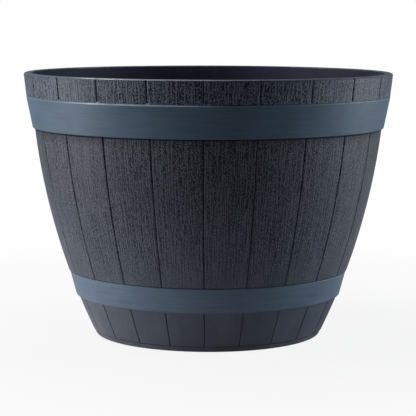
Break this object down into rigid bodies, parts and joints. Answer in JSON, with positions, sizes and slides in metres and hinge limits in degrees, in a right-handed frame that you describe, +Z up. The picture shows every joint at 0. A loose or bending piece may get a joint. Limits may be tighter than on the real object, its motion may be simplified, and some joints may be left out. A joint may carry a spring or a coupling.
{
  "type": "barrel planter",
  "caption": "Half-barrel floor planter: a moulded resin shell with stave grooves, conical band hoops, and lift-out rubber stoppers in the floor's drain holes.",
  "frame": {"origin": "centre of the footprint, on the ground", "axes": "+Z up along the barrel's axis, -Y to the front, +X to the right of someone who looks at the front"},
  "size_m": [0.5199, 0.5198, 0.371],
  "materials": {
    "shell_resin": "charcoal moulded resin with a fine wood grain and a soft sheen",
    "hoop_resin": "slate-blue satin moulded resin with faint level streaks",
    "stopper_rubber": "matte black rubber"
  },
  "bodies": {
    "root": {"barrel_shell": "shell_resin", "upper_hoop": "hoop_resin", "lower_hoop": "hoop_resin"},
    "stopper_centre": {"drain_plug_centre": "stopper_rubber"},
    "stopper_front": {"drain_plug_front": "stopper_rubber"},
    "stopper_right": {"drain_plug_right": "stopper_rubber"},
    "stopper_rear": {"drain_plug_rear": "stopper_rubber"},
    "stopper_left": {"drain_plug_left": "stopper_rubber"}
  },
  "joints": [
    {"name": "centre_stopper_pull", "type": "slide", "parent": "root", "child": "stopper_centre", "axis": [0, 0, 1], "range_m": [0, 0.03]},
    {"name": "front_stopper_pull", "type": "slide", "parent": "root", "child": "stopper_front", "axis": [0, 0, 1], "range_m": [0, 0.03]},
    {"name": "right_stopper_pull", "type": "slide", "parent": "root", "child": "stopper_right", "axis": [0, 0, 1], "range_m": [0, 0.03]},
    {"name": "rear_stopper_pull", "type": "slide", "parent": "root", "child": "stopper_rear", "axis": [0, 0, 1], "range_m": [0, 0.03]},
    {"name": "left_stopper_pull", "type": "slide", "parent": "root", "child": "stopper_left", "axis": [0, 0, 1], "range_m": [0, 0.03]}
  ]
}
